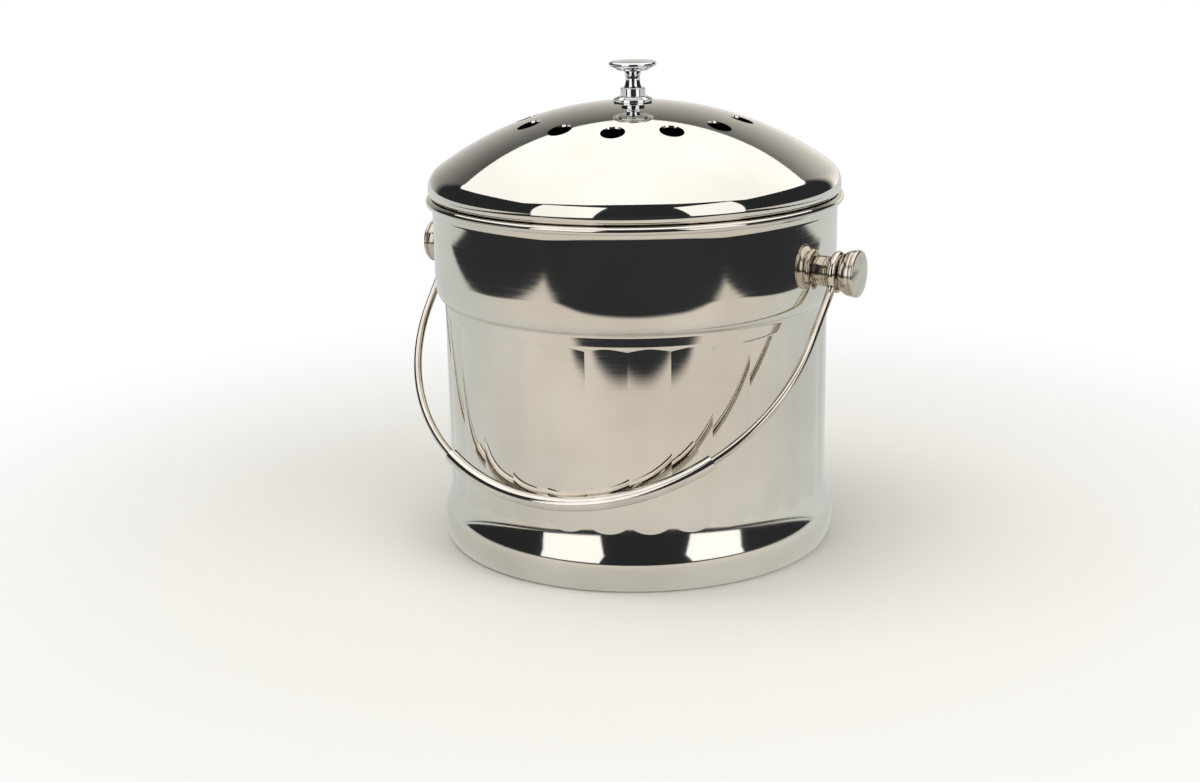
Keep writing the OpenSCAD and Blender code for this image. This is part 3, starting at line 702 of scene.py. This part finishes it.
# Eye, bend and leg on the right, the bow, and the same again mirrored on the left
def bailPath(b):
    spread = math.radians(b["spread"])
    bowCv = b["reach"] - b["bowR"]
    legLength = (bowCv + b["bowR"] * math.sin(spread)) / math.cos(spread)
    bendV = math.sqrt((b["eyeR"] + b["bendR"]) ** 2 - b["bendR"] ** 2)
    bendTurn = math.degrees(math.acos(b["bendR"] / (b["eyeR"] + b["bendR"])))
    # The wire's tip is round: over the first wire radius the taper follows a quarter circle
    endTurn = math.degrees(b["wireR"] / b["eyeR"])
    start = 180 + bendTurn - b["eyeTurn"]
    tip = np.radians(range(0, 90, 10))
    taper = [max(0.03, share) for share in np.sin(tip)]
    eye = np.concatenate([start + endTurn * (1 - np.cos(tip)),
                          np.linspace(start + endTurn, 180 + bendTurn, 90)])
    leg = [(b["eyeR"] * math.cos(a), b["eyeR"] * math.sin(a)) for a in np.radians(eye)]
    leg += [(b["bendR"] * (math.cos(a) - 1), b["bendR"] * math.sin(a) - bendV)
            for a in np.radians(np.linspace(bendTurn, 0, 22)[1:])]
    leg += [(0, z) for z in np.linspace(-bendV, -legLength, 14)[1:]]
    taper += [1] * (len(leg) - len(taper))
    right = np.array([(z * math.sin(spread) + b["eyeX"], y, z * math.cos(spread)) for y, z in leg])
    sweep = np.radians(np.linspace(b["spread"], 180 - b["spread"], 200))[1:-1]
    bow = np.column_stack([
        b["bowR"] * np.cos(sweep), np.zeros_like(sweep), -bowCv - b["bowR"] * np.sin(sweep)])
    left = (right * (-1, 1, 1))[::-1]
    points = atRest(np.concatenate([right, bow, left])) + (0, 0, post["axleZ"])
    return points, taper + [1] * len(bow) + taper[::-1]


def wireMesh(b, material):
    points, taper = bailPath(b)
    chain = bpy.data.meshes.new("bailWire")
    chain.from_pydata((points * metre).tolist(), [(i, i + 1) for i in range(len(points) - 1)], [])
    chain.attributes.new("taper", "FLOAT", "POINT").data.foreach_set("value", taper)
    made = meshFromNodes(chain, wireTree, {
        "Wire radius": b["wireR"] * metre, "Sides": b["sides"], "Material": material})
    made.shade_smooth()
    return made


addPiece("bailWire", wireMesh(bail, materials["nickelPlatedWire"]), "bail",
         ["bail_wire"], materials["nickelPlatedWire"])


# Bends a section along the bow: h is the place on it in degrees
def alongBow(r, h, a):
    turn = np.radians(h)
    bowCv = bail["reach"] - bail["bowR"]
    zero = np.zeros_like(turn)
    toward = np.stack([np.cos(turn), zero, -np.sin(turn)], -1)
    axial = np.stack([-np.sin(turn), zero, -np.cos(turn)], -1)
    outward = toward * np.cos(a)[..., None] + np.cross(axial, toward) * np.sin(a)[..., None]
    centre = toward * bail["bowR"] + (0, 0, -bowCv)
    position = atRest(centre + outward * r[..., None]) + (0, 0, post["axleZ"])
    return position, atRest(outward), atRest(axial)


def gripStrips(b):
    bore, chamfer = b["wireR"] + b["gripGap"], b["gripChamfer"]
    degreesPerMm = math.degrees(1 / b["bowR"])
    low = 90 - b["gripShift"] - b["gripArc"] / 2
    high = low + b["gripArc"]
    lowIn, highIn = low + chamfer * degreesPerMm, high - chamfer * degreesPerMm
    strips = []
    corners = [(bore, highIn, 1), (bore, lowIn, 60), (bore + chamfer, low, 1),
               (b["gripR"] - chamfer, low, 1), (b["gripR"], lowIn, 1), (b["gripR"], highIn, 60),
               (b["gripR"] - chamfer, high, 1), (bore + chamfer, high, 1), (bore, highIn, 1)]
    for (startR, startTurn, _), (endR, endTurn, steps) in zip(corners, corners[1:]):
        points, _ = lineStrip((startR, startTurn), (endR, endTurn), steps)
        along = np.array([endR - startR, (endTurn - startTurn) / degreesPerMm])
        along /= np.linalg.norm(along)
        strips.append((points, np.tile((along[1], -along[0]), (steps + 1, 1))))
    return strips


gripTurn = np.linspace(0, math.tau, bail["gripColumns"] + 1)
addPiece("gripSleeve", weldedMesh("gripSleeve", turnedSheets(gripStrips(bail), gripTurn, alongBow)),
         "grip", ["grip_sleeve"], materials["brightTubeGrip"])
print("bail and grip made")

# CAD nodes that are shown as they are
keptNodes = {
    "lid_collar": ("satinStainlessCollar", "collar_steel"),
    "knob_screw": ("zincPlatedScrew", "screw_steel"),
    "carbon_filter": ("activatedCarbonFelt", "carbon_felt"),
    "filter_holder": ("mouldedPolypropylene", "holder_plastic"),
}
for label in ("right", "left"):
    keptNodes["post_screw_" + label] = ("zincPlatedScrew", "screw_steel")
    keptNodes["post_washer_" + label] = ("zincPlatedScrew", "screw_steel")
    keptNodes["post_seal_" + label] = ("nitrileRubberSeal", "seal_rubber")
for nodeName, (materialName, slotName) in keptNodes.items():
    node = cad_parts[nodeName]
    node.data.materials.clear()
    node.data.materials.append(materials[materialName])
print("kept nodes painted")

# The stage is laid out from where the camera looks; side is to its right, away is behind the caddy
stage = dict(cameraTurn=26.46, distance=805.04, height=286.1, lens=54.51,
             forward=(-0.02026546, 0.96395151, -0.2653051), right=(0.99971144, 0.01611421, -0.01781458),
             nearClip=20, farClip=60000, floorHalf=6000, floorDrop=0.2)
stageTurn = Matrix.Rotation(math.radians(stage["cameraTurn"]), 4, "Z")


def placeCamera(s):
    camera = bpy.data.objects.new("camera", bpy.data.cameras.new("camera"))
    bpy.context.scene.collection.objects.link(camera)
    forward, right = Vector(s["forward"]).normalized(), Vector(s["right"]).normalized()
    up = right.cross(forward)
    facing = Matrix((right, up, -forward)).transposed().to_4x4()
    at = Matrix.Translation((0, -s["distance"] * metre, s["height"] * metre))
    camera.matrix_world = stageTurn @ at @ facing
    camera.data.sensor_fit = "HORIZONTAL"
    camera.data.sensor_width = 36
    camera.data.lens = s["lens"]
    camera.data.clip_start, camera.data.clip_end = s["nearClip"] * metre, s["farClip"] * metre
    bpy.context.scene.camera = camera


placeCamera(stage)


# Floor: pale and matt. Reflected, it is a white table that ends in a dark room, with a backdrop far behind.
# The reflected table is painted light: it glows, warmer in front and cooler behind, with a painted shadow
# near the caddy.
table = dict(front=425, frontDip=55, dipFrom=180, dipTo=440, leftSide=620, rightSide=600, flare=0.16, blur=26,
             backdropAt=1084, warm="#E6E1D8", cool="#D9DDDC", coolFrom=-300, coolTo=100, room="#333539",
             shadeFrom=85, shadeTo=210, shade=0.88, floorColour="#DEDBD5", whiteFrom=150, whiteTo=460)


# Where the camera's side and away axes lie for a direction or a place
def towardStage(tree, vector):
    turned = addNode(tree, "ShaderNodeVectorRotate", {
        "rotation_type": "Z_AXIS", "Angle": -math.radians(stage["cameraTurn"])}, {"Vector": vector})
    return turned.outputs[0]


# The colour that the metal sees in the floor. The table in it is painted light, warmer in front and cooler
# behind.
def tableTone(tree, place, t):
    def edgeAt(value, edge, blur):
        return softStep(tree, value, (edge - blur) * metre, (edge + blur) * metre)

    split = addNode(tree, "ShaderNodeSeparateXYZ", {}, {0: towardStage(tree, place)})
    side, away = split.outputs["X"], split.outputs["Y"]
    sideways = arithmetic(tree, "ABSOLUTE", side)
    # The table's sides spread a little towards the back, and its front dips towards the corners
    leftSpread = arithmetic(tree, "MULTIPLY_ADD", away, t["flare"], side)
    rightSpread = arithmetic(tree, "MULTIPLY_ADD", away, -t["flare"], side)
    fromLeft = edgeAt(leftSpread, -t["leftSide"], t["blur"] / 2)
    pastRight = edgeAt(rightSpread, t["rightSide"], t["blur"] / 2)
    dip = softStep(tree, sideways, t["dipFrom"] * metre, t["dipTo"] * metre,
                   {"To Max": t["frontDip"] * metre})
    onFront = edgeAt(arithmetic(tree, "ADD", away, dip), -t["front"], t["blur"])
    onTable = arithmetic(tree, "MULTIPLY", arithmetic(tree, "SUBTRACT", fromLeft, pastRight), onFront)
    backdrop = edgeAt(arithmetic(tree, "ADD", away, sideways), t["backdropAt"], t["blur"])
    bright = arithmetic(tree, "MAXIMUM", onTable, backdrop)
    # Painted light: the reflected table is warmer in front and cooler towards the back
    coolness = softStep(tree, away, t["coolFrom"] * metre, t["coolTo"] * metre)
    paintedTableLight = addNode(tree, "ShaderNodeMix", {
        "data_type": "RGBA", "A": linearColour(t["warm"]), "B": linearColour(t["cool"])},
        {"Factor": coolness})
    tone = addNode(tree, "ShaderNodeMix", {"data_type": "RGBA", "A": linearColour(t["room"])},
                   {"Factor": bright, "B": paintedTableLight.outputs["Result"]})
    return tone.outputs["Result"]


def floorMaterial(t):
    material, tree = blankMaterial("paleFloor")
    place = addNode(tree, "ShaderNodeTexCoord").outputs["Object"]
    reach = addNode(tree, "ShaderNodeVectorMath", {"operation": "LENGTH"}, {0: place}).outputs["Value"]
    path = addNode(tree, "ShaderNodeLightPath")
    # Painted shadow: for the metal the floor glows, dimmed to shade near the caddy and full again by shadeTo
    shade = softStep(tree, reach, t["shadeFrom"] * metre, t["shadeTo"] * metre, {"To Min": t["shade"]})
    reflected = addNode(tree, "ShaderNodeEmission", {},
                        {"Color": tableTone(tree, place, t), "Strength": shade})
    matt = addNode(tree, "ShaderNodeBsdfDiffuse", {"Color": linearColour(t["floorColour"])})
    white = addNode(tree, "ShaderNodeEmission", {"Strength": 1.0})
    fade = softStep(tree, reach, t["whiteFrom"] * metre, t["whiteTo"] * metre)
    faded = arithmetic(tree, "MULTIPLY", fade, path.outputs["Is Camera Ray"])
    seen = addNode(tree, "ShaderNodeMixShader", {}, {0: faded, 1: matt.outputs[0], 2: white.outputs[0]})
    both = addNode(tree, "ShaderNodeMixShader", {}, {
        0: path.outputs["Is Glossy Ray"], 1: seen.outputs[0], 2: reflected.outputs[0]})
    addNode(tree, "ShaderNodeOutputMaterial", {}, {"Surface": both.outputs[0]})
    return material


def stageSheet(name, corners, placement, material):
    mesh = bpy.data.meshes.new(name)
    mesh.from_pydata(corners, [], [tuple(range(len(corners)))])
    mesh.materials.append(material)
    sheet = bpy.data.objects.new(name, mesh)
    sheet.matrix_world = placement
    bpy.context.scene.collection.objects.link(sheet)
    return sheet


reach = stage["floorHalf"] * metre
stageSheet("floor", [(-reach, -reach, 0), (reach, -reach, 0), (reach, reach, 0), (-reach, reach, 0)],
           Matrix.Translation((0, 0, -stage["floorDrop"] * metre)), floorMaterial(table))

# Softboxes: seen in the metal only. Corners are (side, away, up).
softboxes = {
    "overhead": dict(strength=1.35, corners=[
        (-1250, -480, 1080), (-450, -780, 1080), (450, -780, 1080), (1230, -480, 1080), (1250, 50, 1080),
        (1330, 930, 1080), (620, 1200, 1080), (0, 1300, 1080), (-650, 1220, 1080), (-1390, 1050, 1080),
        (-1250, 50, 1080)]),
    "frontLeft": dict(strength=1.33, corners=[
        (-980, -690, 40), (-440, -1120, 40), (-330, -1160, 1050), (-990, -680, 1050)]),
    "frontRight": dict(strength=1.33, corners=[
        (580, -1050, 40), (1030, -620, 40), (1030, -620, 1050), (450, -1110, 900)]),
}


def addSoftbox(name, box):
    material, tree = blankMaterial(name + "Glow")
    glow = addNode(tree, "ShaderNodeEmission", {"Strength": box["strength"]})
    addNode(tree, "ShaderNodeOutputMaterial", {}, {"Surface": glow.outputs[0]})
    corners = [[c * metre for c in corner] for corner in box["corners"]]
    card = stageSheet(name, corners, stageTurn, material)
    card.visible_camera = False
    card.visible_diffuse = False
    card.visible_shadow = False


for name, box in softboxes.items():
    addSoftbox(name, box)

# Lamps light the matt surfaces and the floor, and point at the caddy's middle
lampTargetZ = 80
lamps = {
    "keyLamp": dict(side=-250, away=-100, up=1300, size=1100, power=14),
    "fillLamp": dict(side=700, away=-500, up=900, size=900, power=5),
}


def addLamp(name, values):
    lamp = bpy.data.objects.new(name, bpy.data.lights.new(name, "AREA"))
    bpy.context.scene.collection.objects.link(lamp)
    lamp.data.size = values["size"] * metre
    lamp.data.energy = values["power"]
    centre = Vector((values["side"], values["away"], values["up"])) * metre
    target = Vector((0, 0, lampTargetZ * metre))
    facing = (centre - target).to_track_quat("Z", "Y").to_matrix().to_4x4()
    lamp.matrix_world = stageTurn @ Matrix.Translation(centre) @ facing
    lamp.visible_glossy = False


for name, values in lamps.items():
    addLamp(name, values)

# World: white to the camera and a soft grey fill for matt surfaces. Metal sees a dark room before a
# backdrop, which starts between backFrom and backTo, darkens upwards and is brighter to the right.
room = dict(fill=0.5, dark="#2C2E31", backdrop="#E9E6E0", backFrom=0.7, backTo=0.84, lean=0.8,
            topTone=0.12, topAt=0.56)


def roomTone(tree, r):
    toward = towardStage(tree, addNode(tree, "ShaderNodeTexCoord").outputs["Generated"])
    up = addNode(tree, "ShaderNodeSeparateXYZ", {}, {0: toward}).outputs["Z"]
    flat = addNode(tree, "ShaderNodeVectorMath", {"operation": "MULTIPLY", 1: (1, 1, 0)}, {0: toward})
    level = addNode(tree, "ShaderNodeVectorMath", {"operation": "NORMALIZE"}, {0: flat.outputs[0]})
    bearing = addNode(tree, "ShaderNodeSeparateXYZ", {}, {0: level.outputs[0]})
    behind = softStep(tree, bearing.outputs["Y"], r["backFrom"], r["backTo"])
    height = addNode(tree, "ShaderNodeMapRange", {
        "From Max": r["topAt"], "To Min": 1.0, "To Max": r["topTone"]}, {"Value": up}).outputs[0]
    lean = arithmetic(tree, "MULTIPLY_ADD", bearing.outputs["X"], r["lean"], 1.0)
    wall = arithmetic(tree, "MULTIPLY", arithmetic(tree, "MULTIPLY", height, lean), behind)
    tone = addNode(tree, "ShaderNodeMix", {
        "data_type": "RGBA", "clamp_factor": False, "A": linearColour(r["dark"]),
        "B": linearColour(r["backdrop"])}, {"Factor": wall})
    return tone.outputs["Result"]


def makeWorld(r):
    world = bpy.data.worlds.new("studio")
    bpy.context.scene.world = world
    world.use_nodes = True
    tree = world.node_tree
    tree.nodes.clear()
    path = addNode(tree, "ShaderNodeLightPath")
    fill = addNode(tree, "ShaderNodeBackground", {"Strength": r["fill"]})
    metal = addNode(tree, "ShaderNodeBackground", {"Strength": 1.0}, {"Color": roomTone(tree, r)})
    white = addNode(tree, "ShaderNodeBackground", {"Strength": 1.0, "Color": (1, 1, 1, 1)})
    first = addNode(tree, "ShaderNodeMixShader", {}, {
        0: path.outputs["Is Glossy Ray"], 1: fill.outputs[0], 2: metal.outputs[0]})
    last = addNode(tree, "ShaderNodeMixShader", {}, {
        0: path.outputs["Is Camera Ray"], 1: first.outputs[0], 2: white.outputs[0]})
    addNode(tree, "ShaderNodeOutputWorld", {}, {"Surface": last.outputs[0]})


makeWorld(room)
bpy.context.scene.view_settings.view_transform = "Standard"
print("stage made")
